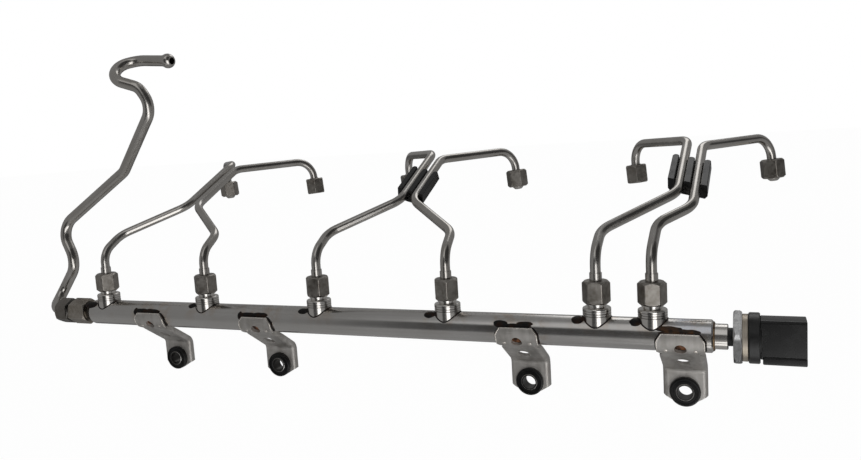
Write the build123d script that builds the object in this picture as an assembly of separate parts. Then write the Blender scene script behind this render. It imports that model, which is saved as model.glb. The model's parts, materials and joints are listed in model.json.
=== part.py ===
from build123d import *
import os
from dataclasses import dataclass
from math import cos, radians, sin, sqrt, tan

# Fuel rail of an inline six with direct injection.
# Frame: origin on the rail's axis, half-way along the bank of six cylinders.
# +X runs along the rail from the feed end to the pressure sensor, +Z along the
# port bosses, and +Y from the bracket side towards the injectors.
# Millimetres throughout.

# ---------------------------------------------------------------- engine bank
CYLINDERS = 6
CYL_PITCH = 91.0          # centre to centre of neighbouring cylinders
LAST_PORT_BACK = 60.4     # the last port stands this far short of its cylinder

# ----------------------------------------------------------------------- rail
RAIL_OD = 18.0
RAIL_BORE = 10.0
RAIL_PAST_FIRST = 14.0    # rail beyond the first port's axis
RAIL_PAST_LAST = 31.4     # rail beyond the last port's axis
RAIL_NOSE_R = 2.2         # rounded shoulder at the feed end
RAIL_CHAMFER = 0.8
SPIGOT_OD = 12.0          # spigot of each end fitting, brazed into the rail
SPIGOT_LENGTH = 8.0

# ---------------------------------------------------------------- port bosses
BOSS_OD = 16.0
BOSS_TOP = 14.5           # height of the boss rim over the rail's axis
BOSS_RIM_R = 0.9
GROOVE_DEPTH = 0.35       # two turned rings under the rim
GROOVE_WIDTH = 0.7
GROOVE_DROPS = (2.6, 4.0)
PORT_DRILL = 3.0          # drilling from the rail's bore to the seat
STUB_HEIGHT = 9.0         # threaded stub over the rim
RELIEF_HEIGHT = 1.6       # thread relief at the foot of the stub
RELIEF_DEPTH = 0.8
SEAT_HALF_ANGLE = 30.0    # every cone seat is 60 degrees
SEAT_LIP = 0.6            # how far the seat opens past the contact circle

# -------------------------------------------------------------- small fittings
@dataclass
class Fitting:
    """A pipe end: ball nipple on the pipe, cone seat, union nut."""

    pipe_od: float
    pipe_bore: float
    ball_r: float         # radius of the ball nipple
    sleeve_od: float      # brazed sleeve behind the ball
    thread_od: float
    nut_af: float         # across flats
    nut_roof: float       # wall at the closed end of the nut


LINE = Fitting(6.0, 3.0, 4.7, 7.0, 12.0, 14.0, 2.4)
FEED = Fitting(8.0, 5.0, 5.3, 8.8, 14.0, 17.0, 1.6)

LINE_NUT_HEIGHT = 13.0
FEED_NUT_HEIGHT = 13.0
RAIL_SLEEVE = 7.0         # sleeve length at the rail end of an injector line
INJECTOR_SLEEVE = 3.0
FEED_SLEEVE = 1.5
BALL_BACK = 0.25          # share of the ball's radius kept behind its centre
TIP_FLAT = 0.8            # flat ring round the bore at the tip of a nipple
NUT_RING = 0.93           # flat end ring of a union nut, as a share of its flats
NUT_CHAMFER = 42.0        # degrees
NUT_EDGE_R = 0.8          # worn and forged corners of the union nuts
HEX_RING = 0.99           # the same three for the turned hexagons
HEX_CHAMFER = 30.0
HEX_EDGE_R = 0.3
SEAT_GAP = 0.05
SHOULDER_GAP = 0.2        # nut shoulder to the back of the nipple
THREAD_GAP = 0.1
SLEEVE_GAP = 0.15

# ------------------------------------------------------------- injector lines
BEND_R = 14.0             # bending die of the lines
INJECTOR_SHIFT = 3.0      # injector axis past the cylinder's port
INJECTOR_Y = 151.0
INJECTOR_NUT_TOP = 85.6
INJECTOR_LEAN = 5.0       # lower ends of the injector nuts lean to +X
LAST_DROP = 15.2          # last corner over the top of the injector nut
LINE_RISE = 45.0          # first corner over the rail's axis
RUN_SIDES = (42.3, 42.3, 41.1)   # each pair's clipped runs beside its first port
RUN_PITCH = 9.8           # spacing of the two clipped runs of a pair
RUN_Y = 46.8              # where the first line's run starts
RUN_Z = 74.0
RUN_SLOPE = 26.2          # degrees up, going back
RUN_DRIFT = 2.0           # degrees to +X, going back


@dataclass
class Route:
    """Second corner of a line from its port, and its clipped run's ends in Y."""

    side: float
    back: float
    up: float
    run_from: float
    run_to: float


FIRST_RUN_LOW = 46.8
FIRST_RUN_HIGH = 104.7
SECOND_RUN_LOW = 45.8
SECOND_RUN_HIGH = 96.1
LAST_RUN_LOW = 32.5
LAST_RUN_HIGH = 96.7
FIRST_OF_PAIR = Route(0.5, 18.0, 55.7, FIRST_RUN_LOW, FIRST_RUN_HIGH)
SECOND_OF_PAIR = Route(-2.3, 19.3, 55.5, SECOND_RUN_LOW, SECOND_RUN_HIGH)
LAST_LINE = Route(1.4, 19.0, 59.1, LAST_RUN_LOW, LAST_RUN_HIGH)
# how far each loose injector nut has slid up its line
NUT_SLIDE = (6.1, 0.0, 0.0, 6.1, 0.0, 6.1)
# degrees each nut stands turned about its own axis
RAIL_NUT_TURNS = (50, 19, 7, 52, 4, 7)
INJECTOR_NUT_TURNS = (40, 59, 8, 8, 35, 47)

# ----------------------------------------------------------------- line clips
PAIR_CLIPPED = (False, True, True)
CLIP_START = 9.6          # top edge of the outer rib's lower end, up the run
CLIP_LENGTH = 30.4        # along the ribs' tops
CLIP_SKEW = 25.0          # degrees: both ends run down across the lines
CLIP_LEAN = 4.0           # the floor starts this much lower than the ribs' tops
CLIP_FLOOR = 1.3
CLIP_RIB_HEIGHT = 2.8     # ribs over the plane of the lines' axes
CLIP_LIP = 0.2            # overhang that snaps over a line
CLIP_GAP = 0.1
CLIP_RIB_TIP = 4.0        # rib beyond the floor at its upper end
CLIP_CHAMFER = 1.6        # along the outer lower edges
CLIP_EDGE = 0.4           # along the ribs' tops

# ------------------------------------------------------------------- brackets
BRACKET_STEPS = (-2, -1, 1, 2)   # places along the bank, in cylinder pitches
SHEET = 2.0
TAB_WIDTH = 25.0
TAB_TOP_ANGLE = 13.5      # upper edge of the tab over the rail's level
TAB_WRAP_ANGLE = 55.0     # the tab leaves the rail this far under the level
TAB_CUT = (2.6, 3.6)      # cut upper corners
WINDOW_OD = 6.5           # braze window in the tab
WINDOW_ANGLE = -32.0
DIMPLE_OD = 1.8
DIMPLE_SIDE = 7.7
DIMPLE_ANGLE = -39.0
DIMPLE_DEPTH = 0.5
PLATE_Y = 16.0            # front face of the upright plate
PLATE_CORNER_Z = -39.8    # the side flanges end here
EYE_R = 8.4               # rounded lower end of the plate, round the bush
FOLD_R = 4.0              # inner radius between the slope and the plate
TAB_MARGIN = 0.3          # the tab stands out past the slope and the plate at each side
FLANGE_DEPTH = 3.8
FLANGE_R = 2.6            # outer radius where a side flange folds back
SLOT_WIDTH = 7.0          # lightening slot down the slope
SLOT_LENGTH = 9.4
SLOT_AT = 13.7            # its centre, down the slope from the tab
TAB_CORNER_R = 3.0        # rounded lower corners of the tab
WAIST_WIDTH = 18.8        # between the notches, where the slope starts
WAIST_LENGTH = 11.0       # the slope is at its full width after this

# --------------------------------------------------------------------- bushes
BUSH_Z = -37.2
BUSH_OD = 17.0
BUSH_NECK = 12.4          # hole in the bracket's plate, filled by the rubber
BUSH_FRONT = 2.8          # rubber in front of the plate
BUSH_REAR = 3.2
BUSH_REAR_OD = 16.0
BUSH_EDGE_R = 0.9
BUSH_RING = (12.6, 14.0, 0.5)    # pressed ring in the front face: od, od, depth
SLEEVE_OD = 10.0
SLEEVE_BORE = 8.0
SLEEVE_PROUD = 0.3        # the steel sleeve stands out of the rubber

# ---------------------------------------------------------------- feed fitting
INLET_AF = 17.0
INLET_TURN = 8.0          # degrees
INLET_LENGTH = 15.5
INLET_NECK = 5.0          # turned neck between the hexagon and the rail
INLET_NECK_OD = 13.4
INLET_STUB = 8.6
# Feed line: bend points from the first port, on the rail's level, and the
# die used at each bend.
FEED_POINTS = (
    (-58.2, 0.0, 0.0),
    (-64.7, 16.6, 11.1),
    (-40.1, 10.4, 34.6),
    (-58.4, 16.0, 61.8),
    (7.1, 21.3, 103.4),
    (45.9, 15.5, 149.3),
    (36.2, 14.6, 164.1),
    (-1.6, 8.4, 177.0),
    (22.5, 31.9, 185.5),
    (57.6, 27.7, 181.7),
)
FEED_RADII = (12.0, 12.0, 14.0, 14.0, 14.0, 14.0, 12.0, 12.0, 14.0)

# --------------------------------------------------------------------- sensor
PORT_OD = 13.8            # adapter brazed into the rail's end
PORT_LENGTH = 7.4
STUD_OD = 9.8             # sensor stud, seen as a neck beside the hexagon
STUD_DEPTH = 9.0
STUD_END_GAP = 0.5
SENSE_BORE = 3.0          # blind bore that takes the pressure to the sensor
CORE_OD = 20.0            # spigot under the collar, the seal and the shell
NECK_LENGTH = 2.6
SENSOR_AF = 27.0
SENSOR_HEX = 4.3
SENSOR_TURN = 10.0        # degrees
COLLAR_OD = 25.2
COLLAR_LENGTH = 3.0
RING_OD = 27.0
RING_LENGTH = 5.8
SHELL_LENGTH = 22.0
SHELL_TOP = 12.9          # over the rail's axis
SHELL_HEIGHT = 22.9
SHELL_WIDTH = 22.0
SHELL_CORNER = 3.0
SHELL_CHAMFER = 0.5       # round the mouth of the socket
SHELL_WALL = 2.0
SHELL_FLOOR = 7.0         # solid part behind the socket
LEDGE_HEIGHT = 4.4        # keyed ledge under the shell
LEDGE_WIDTH = 23.6
LEDGE_CORNER = 1.4
LEDGE_SETBACK = 1.8
PINS = 3
PIN_PITCH = 4.0
PIN_WIDTH = 1.6
PIN_THICK = 0.8
PIN_LENGTH = 9.0          # free length in the socket
PIN_ROOT = 3.0            # length held in the socket's floor

# ------------------------------------------------------------- derived places
PLATE_WIDTH = TAB_WIDTH - 2 * TAB_MARGIN
RAIL_R = RAIL_OD / 2
PORT_X = [(n - (CYLINDERS - 1) / 2) * CYL_PITCH for n in range(CYLINDERS)]
INJECTOR_X = [x + INJECTOR_SHIFT for x in PORT_X]
PORT_X[-1] -= LAST_PORT_BACK
BRACKET_X = [step * CYL_PITCH for step in BRACKET_STEPS]
RAIL_X0 = PORT_X[0] - RAIL_PAST_FIRST
RAIL_X1 = PORT_X[-1] + RAIL_PAST_LAST
STUB_TOP = BOSS_TOP + STUB_HEIGHT
SEAT_TAN = tan(radians(SEAT_HALF_ANGLE))
ALONG_X = Rotation(0, 90, 0)      # turns +Z to +X
AGAINST_X = Rotation(0, -90, 0)   # turns +Z to -X
RUN_DIR = Vector(
    sin(radians(RUN_DRIFT)) * cos(radians(RUN_SLOPE)),
    cos(radians(RUN_DRIFT)) * cos(radians(RUN_SLOPE)),
    sin(radians(RUN_SLOPE)),
)
ACROSS_RUN = Vector(cos(radians(RUN_DRIFT)), -sin(radians(RUN_DRIFT)), 0)
INJECTOR_UP = Vector(-sin(radians(INJECTOR_LEAN)), 0, cos(radians(INJECTOR_LEAN)))


# -------------------------------------------------------------------- helpers
def rod(radius, z0, z1):
    """A cylinder on the Z axis from z0 to z1."""
    return Pos(0, 0, z0) * Cylinder(
        radius, z1 - z0, align=(Align.CENTER, Align.CENTER, Align.MIN)
    )


def taper(r0, r1, z0, z1):
    """A cone frustum on the Z axis, radius r0 at z0 and r1 at z1."""
    return Pos(0, 0, z0) * Cone(
        r0, r1, z1 - z0, align=(Align.CENTER, Align.CENTER, Align.MIN)
    )


def hexagon(across_flats, z0, z1, ring=HEX_RING, slope=HEX_CHAMFER, edge_r=HEX_EDGE_R):
    """A hexagon bar on the Z axis with its corners cut back at both ends."""
    corner_r = across_flats / 2 / cos(radians(30))
    outline = RegularPolygon(corner_r, 6)
    bar = Pos(0, 0, z0) * extrude(fillet(outline.vertices(), edge_r), z1 - z0)
    ring_r = across_flats / 2 * ring
    far = corner_r + 1
    grow = (far - ring_r) * tan(radians(slope))
    bar &= taper(ring_r, far, z0, z0 + grow) + rod(far, z0 + grow, z1 + far)
    return bar & (taper(far, ring_r, z1 - grow, z1) + rod(far, z0 - far, z1 - grow))


# Distances of a fitting, measured from the centre of its ball.
def tip_of(f):
    flat = f.pipe_bore / 2 + TIP_FLAT
    return sqrt(f.ball_r**2 - flat**2)


def shoulder_of(f):
    """Height of the nut's roof over the ball's centre."""
    back = BALL_BACK * f.ball_r
    back_r = sqrt(f.ball_r**2 - back**2)
    hole_r = f.sleeve_od / 2 + SLEEVE_GAP
    return back + SHOULDER_GAP * sqrt(2) + back_r - hole_r


def seat_r_of(f):
    return f.ball_r * cos(radians(SEAT_HALF_ANGLE)) + SEAT_LIP


def ball_over_stub(f):
    """Height of the ball's centre over the top of the stub it seats in."""
    apex = (f.ball_r + SEAT_GAP) / sin(radians(SEAT_HALF_ANGLE))
    return apex - seat_r_of(f) / SEAT_TAN


def nipple(f, sleeve):
    """Ball nipple and brazed sleeve: ball's centre at 0, pipe towards +Z."""
    tip, back = tip_of(f), BALL_BACK * f.ball_r
    back_r, sleeve_r = sqrt(f.ball_r**2 - back**2), f.sleeve_od / 2
    top = back + back_r - sleeve_r
    body = Sphere(f.ball_r) & rod(f.ball_r + 1, -tip, back)
    body += taper(back_r, sleeve_r, back, top)
    body += rod(sleeve_r, top, top + sleeve)
    return body - rod(f.pipe_bore / 2, -f.ball_r, top + sleeve + 1)


def union_nut(f, height):
    """Union nut: threaded end at z = 0, roof at z = height."""
    roof = height - f.nut_roof
    hole_r = f.sleeve_od / 2 + SLEEVE_GAP
    room_r = f.ball_r + SLEEVE_GAP
    cone = room_r - hole_r
    thread = roof - shoulder_of(f) - ball_over_stub(f) + THREAD_GAP
    nut = hexagon(f.nut_af, 0, height, NUT_RING, NUT_CHAMFER, NUT_EDGE_R)
    nut -= rod(f.thread_od / 2 + THREAD_GAP, -1, thread)
    nut -= rod(room_r, thread - 1, roof - cone)
    nut -= taper(room_r, hole_r, roof - cone, roof)
    return nut - rod(hole_r, roof - 1, height + 1)


def stub(f, height, drill):
    """Threaded stub with a cone seat, its foot at z = 0."""
    thread_r = f.thread_od / 2
    chamfer_r = thread_r - 0.6
    body = rod(thread_r - RELIEF_DEPTH, 0, RELIEF_HEIGHT)
    body += rod(thread_r, RELIEF_HEIGHT, height - 0.6)
    body += taper(thread_r, chamfer_r, height - 0.6, height)
    seat_depth = (seat_r_of(f) - drill / 2) / SEAT_TAN
    body -= taper(drill / 2, seat_r_of(f), height - seat_depth, height)
    return body - rod(drill / 2, -1, height - seat_depth + 0.01)


def bend_radii(points, wanted):
    """The wanted radius at each corner, or less where a run is too short."""
    legs = [b - a for a, b in zip(points, points[1:])]
    half = [radians(a.get_angle(b)) / 2 for a, b in zip(legs, legs[1:])]
    used = [0] + [r * tan(h) for r, h in zip(wanted, half)] + [0]
    room = [0.98 * leg.length / (a + b) for leg, a, b in zip(legs, used, used[1:])]
    return [r * min(1, a, b) for r, a, b in zip(wanted, room, room[1:])]


def along_bends(section, points, wanted):
    """A section drawn round its middle, swept along the bends through the points."""
    path = FilletPolyline(*points, radius=bend_radii(points, wanted))
    return sweep(Plane(origin=path @ 0, z_dir=path % 0) * section, path=path)


def tube(points, wanted, f):
    """A pipe of fitting f bent through the points."""
    return along_bends(Circle(f.pipe_od / 2) - Circle(f.pipe_bore / 2), points, wanted)


def aimed(origin, z_dir):
    return Plane(origin=origin, z_dir=z_dir).location


# ----------------------------------------------------------- rail and its ends
def make_rail():
    rail = Pos(RAIL_X0, 0, 0) * ALONG_X * rod(RAIL_R, 0, RAIL_X1 - RAIL_X0)
    ends = rail.edges().filter_by(GeomType.CIRCLE).sort_by(Axis.X)
    rail = fillet(ends[0], RAIL_NOSE_R)
    ends = rail.edges().filter_by(GeomType.CIRCLE).sort_by(Axis.X)
    rail = chamfer(ends[-1], RAIL_CHAMFER)
    rail -= Pos(RAIL_X0, 0, 0) * ALONG_X * rod(RAIL_BORE / 2, -1, RAIL_X1 - RAIL_X0 + 1)
    for x, turn in ((RAIL_X0, ALONG_X), (RAIL_X1, AGAINST_X)):
        rail -= Pos(x, 0, 0) * turn * rod(SPIGOT_OD / 2, -1, SPIGOT_LENGTH)
    for x in PORT_X:
        rail -= Pos(x, 0, 0) * rod(PORT_DRILL / 2, 0, RAIL_R + 1)
    return rail


def make_boss():
    """Port boss at x = 0: turned, ringed under its rim and saddled to the rail."""
    boss = rod(BOSS_OD / 2, 0, BOSS_TOP)
    boss = fillet(boss.edges().sort_by(Axis.Z)[-1], BOSS_RIM_R)
    for drop in GROOVE_DROPS:
        z = BOSS_TOP - drop
        ring = rod(BOSS_OD, z - GROOVE_WIDTH, z) - rod(
            BOSS_OD / 2 - GROOVE_DEPTH, z - GROOVE_WIDTH, z
        )
        boss -= ring
    boss -= ALONG_X * rod(RAIL_R, -BOSS_OD, BOSS_OD)
    boss -= rod(PORT_DRILL / 2, 0, BOSS_TOP + 1)
    return boss + Pos(0, 0, BOSS_TOP) * stub(LINE, STUB_HEIGHT, PORT_DRILL)


def make_inlet():
    """Feed adapter: neck brazed into the rail, hexagon, threaded stub."""
    turn = Pos(RAIL_X0, 0, 0) * AGAINST_X
    hex_start, hex_end = INLET_NECK, INLET_NECK + INLET_LENGTH
    body = rod(SPIGOT_OD / 2, -SPIGOT_LENGTH, 0) + rod(INLET_NECK_OD / 2, 0, hex_start)
    body += Rotation(0, 0, INLET_TURN) * hexagon(INLET_AF, hex_start, hex_end)
    body -= rod(FEED.pipe_bore / 2, -SPIGOT_LENGTH - 1, hex_end + 1)
    body += Pos(0, 0, hex_end) * stub(FEED, INLET_STUB, FEED.pipe_bore)
    return turn * body


def feed_ball_x():
    """X of the ball's centre where the feed line seats in the adapter."""
    return RAIL_X0 - INLET_NECK - INLET_LENGTH - INLET_STUB - ball_over_stub(FEED)


def make_feed_line():
    start = Vector(feed_ball_x(), 0, 0)
    points = [start] + [Vector(PORT_X[0] + x, y, z) for x, y, z in FEED_POINTS]
    points[-1] -= (points[-1] - points[-2]).normalized() * tip_of(FEED)
    line = tube(points, FEED_RADII, FEED)
    inner = nipple(FEED, FEED_SLEEVE)
    line += aimed(points[0], points[1] - points[0]) * inner
    line += aimed(points[-1], points[-2] - points[-1]) * inner
    return line


def make_feed_nut():
    roof = feed_ball_x() - shoulder_of(FEED) - FEED.nut_roof
    return Pos(roof + FEED_NUT_HEIGHT, 0, 0) * AGAINST_X * union_nut(
        FEED, FEED_NUT_HEIGHT
    )


# ------------------------------------------------------------- injector lines
def run_point(pair, second, y):
    """Point of a clipped run, of the first or second line of a pair."""
    start = Vector(PORT_X[2 * pair] + RUN_SIDES[pair], RUN_Y, RUN_Z)
    if second:
        start += ACROSS_RUN * RUN_PITCH
    return start + RUN_DIR * ((y - start.Y) / RUN_DIR.Y)


def injector_nut_top(n):
    return Vector(INJECTOR_X[n], INJECTOR_Y, INJECTOR_NUT_TOP)


def injector_ball(n):
    depth = LINE.nut_roof + shoulder_of(LINE) + NUT_SLIDE[n]
    return injector_nut_top(n) - INJECTOR_UP * depth


def line_points(n):
    """Corners of injector line n, from its rail nipple to its injector nipple."""
    second = n % 2 == 1
    shape = SECOND_OF_PAIR if second else FIRST_OF_PAIR
    if n == CYLINDERS - 1:
        shape = LAST_LINE
    x = PORT_X[n]
    return [
        Vector(x, 0, STUB_TOP + ball_over_stub(LINE)),
        Vector(x, 0, LINE_RISE),
        Vector(x + shape.side, shape.back, shape.up),
        run_point(n // 2, second, shape.run_from),
        run_point(n // 2, second, shape.run_to),
        injector_nut_top(n) + INJECTOR_UP * LAST_DROP,
        injector_ball(n),
    ]


def make_line(n):
    points = line_points(n)
    line = tube(points, [BEND_R] * (len(points) - 2), LINE)
    line += aimed(points[0], points[1] - points[0]) * nipple(LINE, RAIL_SLEEVE)
    line += aimed(points[-1], INJECTOR_UP) * nipple(LINE, INJECTOR_SLEEVE)
    return line


def make_rail_nut(n):
    ball = STUB_TOP + ball_over_stub(LINE)
    foot = ball + shoulder_of(LINE) + LINE.nut_roof - LINE_NUT_HEIGHT
    return Pos(PORT_X[n], 0, foot) * Rotation(0, 0, RAIL_NUT_TURNS[n]) * union_nut(
        LINE, LINE_NUT_HEIGHT
    )


def make_injector_nut(n):
    foot = injector_nut_top(n) - INJECTOR_UP * LINE_NUT_HEIGHT
    return aimed(foot, INJECTOR_UP) * Rotation(0, 0, INJECTOR_NUT_TURNS[n]) * union_nut(
        LINE, LINE_NUT_HEIGHT
    )


# ----------------------------------------------------------------- line clips
def clip_strip(x, width, short):
    """A strip of the clip's plan, skewed at its ends, its upper end this short."""
    left, right = x - width / 2, x + width / 2
    drop = tan(radians(CLIP_SKEW))
    low, high = CLIP_START - CLIP_LEAN, CLIP_START + CLIP_LENGTH - short
    return make_face(
        Polyline(
            (left, low - drop * left),
            (left, high - drop * left),
            (right, high - drop * right),
            (right, low - drop * right),
            close=True,
        )
    )


def make_clip(pair):
    """Moulded clip that both runs of a pair snap into, from the bracket side."""
    origin = run_point(pair, False, RUN_Y)
    frame = Plane(origin=origin, x_dir=ACROSS_RUN, z_dir=ACROSS_RUN.cross(RUN_DIR))
    pipe_r = LINE.pipe_od / 2 + CLIP_GAP
    rib = RUN_PITCH - 2 * (pipe_r - CLIP_LIP)
    bottom = CLIP_LIP - pipe_r - CLIP_FLOOR
    outer = 2 * RUN_PITCH + rib

    clip = extrude(
        Pos(0, 0, bottom) * clip_strip(RUN_PITCH / 2, outer, CLIP_RIB_TIP), CLIP_FLOOR
    )
    for step in (-0.5, 0.5, 1.5):
        strip = clip_strip(step * RUN_PITCH, rib, 0)
        strip = fillet(strip.vertices().sort_by(Axis.Y)[2:], rib * 0.42)
        bar = extrude(Pos(0, 0, bottom) * strip, CLIP_RIB_HEIGHT - bottom)
        clip += chamfer(bar.edges().group_by(Axis.Z)[-1], CLIP_EDGE)
    for x in (RUN_PITCH / 2 - outer / 2, RUN_PITCH / 2 + outer / 2):
        side = CLIP_CHAMFER * sqrt(2)
        clip -= Pos(x, 0, bottom) * Rotation(0, 45, 0) * Box(side, 4 * CLIP_LENGTH, side)
    along = Vector(1, -tan(radians(CLIP_SKEW)), 0)
    down = Vector(0, -CLIP_LEAN, bottom - CLIP_RIB_HEIGHT)
    end = Plane(
        origin=(0, CLIP_START, CLIP_RIB_HEIGHT), x_dir=along, z_dir=along.cross(down) * -1
    )
    reach = 2 * CLIP_LENGTH
    clip -= end * Box(reach, reach, reach, align=(Align.CENTER, Align.CENTER, Align.MIN))
    clip = frame.location * clip
    for n in (2 * pair, 2 * pair + 1):
        points = line_points(n)[1:-1]
        clip -= along_bends(Circle(pipe_r), points, [BEND_R] * (len(points) - 2))
    return clip


# ------------------------------------------------------------------- brackets
def tab_point(radius, angle):
    a = radians(angle)
    return -radius * cos(a), radius * sin(a)


def slope_start():
    """Where the sheet's middle leaves the rail, and its heading there."""
    a = radians(TAB_WRAP_ANGLE)
    return Vector(*tab_point(RAIL_R + SHEET / 2, -TAB_WRAP_ANGLE)), Vector(sin(a), -cos(a))


def slope_length():
    """Straight part of the slope, so that the plate's front lies at PLATE_Y."""
    start, heading = slope_start()
    fold = (FOLD_R + SHEET / 2) * (1 + heading.Y)
    return (PLATE_Y + SHEET / 2 - start.X - fold) / heading.X


def slope_plane():
    """On the slope's middle: x across, y up the slope, z out to the front."""
    start, heading = slope_start()
    return Plane(
        origin=(0, start.X, start.Y), x_dir=(1, 0, 0), z_dir=(0, heading.Y, -heading.X)
    )


def channel_section():
    """Web and two side flanges folded back, drawn round the web's middle."""
    to_rear = Align.CENTER, Align.MAX
    outer = Pos(0, SHEET / 2) * Rectangle(PLATE_WIDTH, FLANGE_DEPTH, align=to_rear)
    outer = fillet(outer.vertices().group_by(Axis.Y)[-1], FLANGE_R)
    inner = Pos(0, -SHEET / 2) * Rectangle(
        PLATE_WIDTH - 2 * SHEET, FLANGE_DEPTH, align=to_rear
    )
    inner = fillet(inner.vertices().group_by(Axis.Y)[-1], FLANGE_R - SHEET)
    return outer - inner


def make_tab():
    """Tab wrapped round the rail's front, with its upper corners cut."""
    span = TAB_TOP_ANGLE + TAB_WRAP_ANGLE
    ring = Circle(RAIL_R + SHEET) - Circle(RAIL_R)
    reach = 2 * (RAIL_R + SHEET)
    sector = make_face(
        Polyline(
            (0, 0),
            tab_point(reach, TAB_TOP_ANGLE),
            tab_point(reach, TAB_TOP_ANGLE - span / 2),
            tab_point(reach, -TAB_WRAP_ANGLE),
            close=True,
        )
    )
    tab = Pos(-TAB_WIDTH / 2, 0, 0) * extrude(Plane.YZ * (ring & sector), TAB_WIDTH)
    wide, tall = TAB_CUT
    top = tab_point(RAIL_R + SHEET, TAB_TOP_ANGLE)[1]
    for side in (-1, 1):
        x = side * TAB_WIDTH / 2
        cut = make_face(
            Polyline(
                (x + side, top - tall - tall / wide),
                (x - side * wide, top),
                (x - side * wide, top + 1),
                (x + side, top + 1),
                close=True,
            )
        )
        tab -= extrude(Plane.XZ * cut, 2 * RAIL_OD)
    return tab


def waist_cuts():
    """Notches beside the first fold: round the tab's corner, narrow the slope."""
    cuts = []
    for side in (-1, 1):
        edge, full = side * TAB_WIDTH / 2, side * PLATE_WIDTH / 2
        waist = side * WAIST_WIDTH / 2
        corner = (edge - side * TAB_CORNER_R, 0)
        sides = Curve() + [
            TangentArc((edge, TAB_CORNER_R), corner, tangent=(0, -1)),
            Line(corner, (waist, 0)),
            TangentArc((full, -WAIST_LENGTH), (waist, 0), tangent=(0, 1)),
            Polyline(
                (full, -WAIST_LENGTH),
                (edge + side, -WAIST_LENGTH),
                (edge + side, TAB_CORNER_R),
                (edge, TAB_CORNER_R),
            ),
        ]
        cuts.append(extrude(slope_plane() * make_face(sides.edges()), FLANGE_DEPTH, both=True))
    return cuts


def make_bracket():
    """Bracket at x = 0: tab brazed round the rail, slope, flanged plate."""
    start, heading = slope_start()
    slope = Line(start, start + heading * slope_length())
    fold = JernArc(slope @ 1, slope % 1, FOLD_R + SHEET / 2, -TAB_WRAP_ANGLE)
    plate = Line(fold @ 1, ((fold @ 1).X, BUSH_Z - EYE_R))
    spine = Plane.YZ * (Curve() + [slope, fold, plate])
    section = Plane(
        origin=(0, start.X, start.Y), x_dir=(1, 0, 0), z_dir=(0, heading.X, heading.Y)
    ) * channel_section()
    bracket = sweep(section, path=Wire(spine.edges()))
    bracket -= Pos(-TAB_WIDTH, 0, 0) * ALONG_X * rod(RAIL_R, 0, 2 * TAB_WIDTH)
    bracket += make_tab()
    for cut in waist_cuts():
        bracket -= cut

    eye = Pos(0, BUSH_Z) * Circle(EYE_R)
    shoulders = Line((-PLATE_WIDTH / 2, PLATE_CORNER_Z), (PLATE_WIDTH / 2, PLATE_CORNER_Z))
    below = Pos(0, PLATE_CORNER_Z) * Rectangle(
        TAB_WIDTH + 2, 2 * EYE_R, align=(Align.CENTER, Align.MAX)
    )
    below -= make_hull(eye.edges() + shoulders.edges())
    bracket -= extrude(Plane.XZ * below, -(PLATE_Y + 2 * FLANGE_DEPTH))

    slot = SlotOverall(SLOT_LENGTH, SLOT_WIDTH, rotation=90)
    bracket -= slope_plane() * Pos(0, -SLOT_AT, 0) * extrude(slot, SHEET, both=True)
    bracket -= Rotation(-WINDOW_ANGLE, 0, 0) * Rotation(90, 0, 0) * rod(
        WINDOW_OD / 2, 0, RAIL_R + SHEET + 1
    )
    for side in (-1, 1):
        dimple = Pos(side * DIMPLE_SIDE, 0, RAIL_R + SHEET) * Cone(
            0.2, DIMPLE_OD / 2, 2 * DIMPLE_DEPTH
        )
        bracket -= Rotation(-DIMPLE_ANGLE, 0, 0) * Rotation(90, 0, 0) * dimple
    return bracket - bush_place() * rod(BUSH_NECK / 2, -1, SHEET + 1)


# --------------------------------------------------------------------- bushes
def bush_place():
    """The plate's front face at the bush, with +Z turned to the rear."""
    return Pos(0, PLATE_Y, BUSH_Z) * Rotation(-90, 0, 0)


def make_bush():
    """Rubber grommet: front flange, neck through the plate, rear flange."""
    front = fillet(
        rod(BUSH_OD / 2, -BUSH_FRONT, 0).edges().sort_by(Axis.Z)[0], BUSH_EDGE_R
    )
    rear = fillet(
        rod(BUSH_REAR_OD / 2, SHEET, SHEET + BUSH_REAR).edges().sort_by(Axis.Z)[-1],
        BUSH_EDGE_R,
    )
    bush = front + rear + rod(BUSH_NECK / 2, 0, SHEET)
    inner, outer, depth = BUSH_RING
    groove = rod(outer / 2, -BUSH_FRONT - 1, depth - BUSH_FRONT)
    bush -= groove - rod(inner / 2, -BUSH_FRONT - 1, depth)
    bush -= rod(SLEEVE_OD / 2, -BUSH_FRONT - 1, SHEET + BUSH_REAR + 1)
    return bush_place() * bush


def make_sleeve():
    """Steel sleeve in the rubber, standing a little out of both ends."""
    ends = -BUSH_FRONT - SLEEVE_PROUD, SHEET + BUSH_REAR + SLEEVE_PROUD
    sleeve = rod(SLEEVE_OD / 2, *ends)
    sleeve = chamfer(sleeve.edges().filter_by(GeomType.CIRCLE), SLEEVE_PROUD)
    return bush_place() * (sleeve - rod(SLEEVE_BORE / 2, ends[0] - 1, ends[1] + 1))


# --------------------------------------------------------------------- sensor
def sensor_place(distance=0.0):
    """On the rail's axis, this far out of the sensor port, +Z turned to +X."""
    return Pos(RAIL_X1 + PORT_LENGTH + distance, 0, 0) * ALONG_X


def make_sensor_port():
    """Adapter brazed into the rail's end, bored for the sensor's stud."""
    port = rod(SPIGOT_OD / 2, -PORT_LENGTH - SPIGOT_LENGTH, -PORT_LENGTH)
    barrel = rod(PORT_OD / 2, -PORT_LENGTH, 0)
    port += chamfer(barrel.edges().sort_by(Axis.Z)[-1], 0.4)
    port -= rod(STUD_OD / 2 + THREAD_GAP, -STUD_DEPTH - STUD_END_GAP, 1)
    port -= rod(FEED.pipe_bore / 2, -PORT_LENGTH - SPIGOT_LENGTH - 1, 0)
    return sensor_place() * port


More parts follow.
